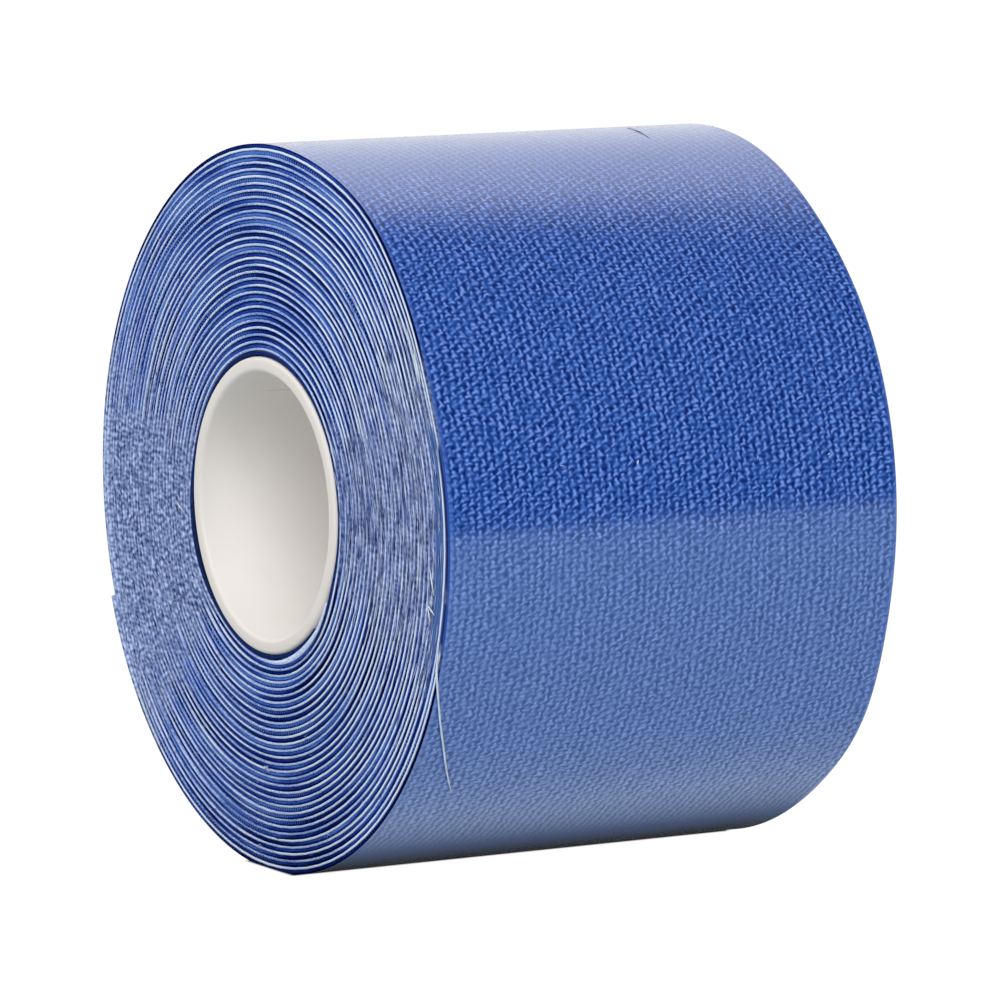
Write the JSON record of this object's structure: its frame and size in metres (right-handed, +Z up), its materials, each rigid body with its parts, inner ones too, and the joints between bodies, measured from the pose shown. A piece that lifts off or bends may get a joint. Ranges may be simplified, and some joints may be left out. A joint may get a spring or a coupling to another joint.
{
  "type": "kinesiology tape roll",
  "caption": "Roll of blue elastic cotton sports tape on a white paper liner, wound on a plain pale plastic core and lying on its side.",
  "frame": {"origin": "middle of the roll's flat spot, on the surface it lies on, half way along the roll", "axes": "+X along the roll's axis, from the end that the picture shows to the far end; +Z up; -Y towards the side that the picture shows"},
  "size_m": [0.05, 0.0708, 0.0709],
  "materials": {
    "tape_cloth": "woven blue cotton with a soft sheen",
    "liner_paper": "smooth white release paper",
    "core_plastic": "satin warm white"
  },
  "bodies": {
    "root": {"tape_roll": "tape_cloth", "core": "core_plastic"}
  },
  "joints": []
}
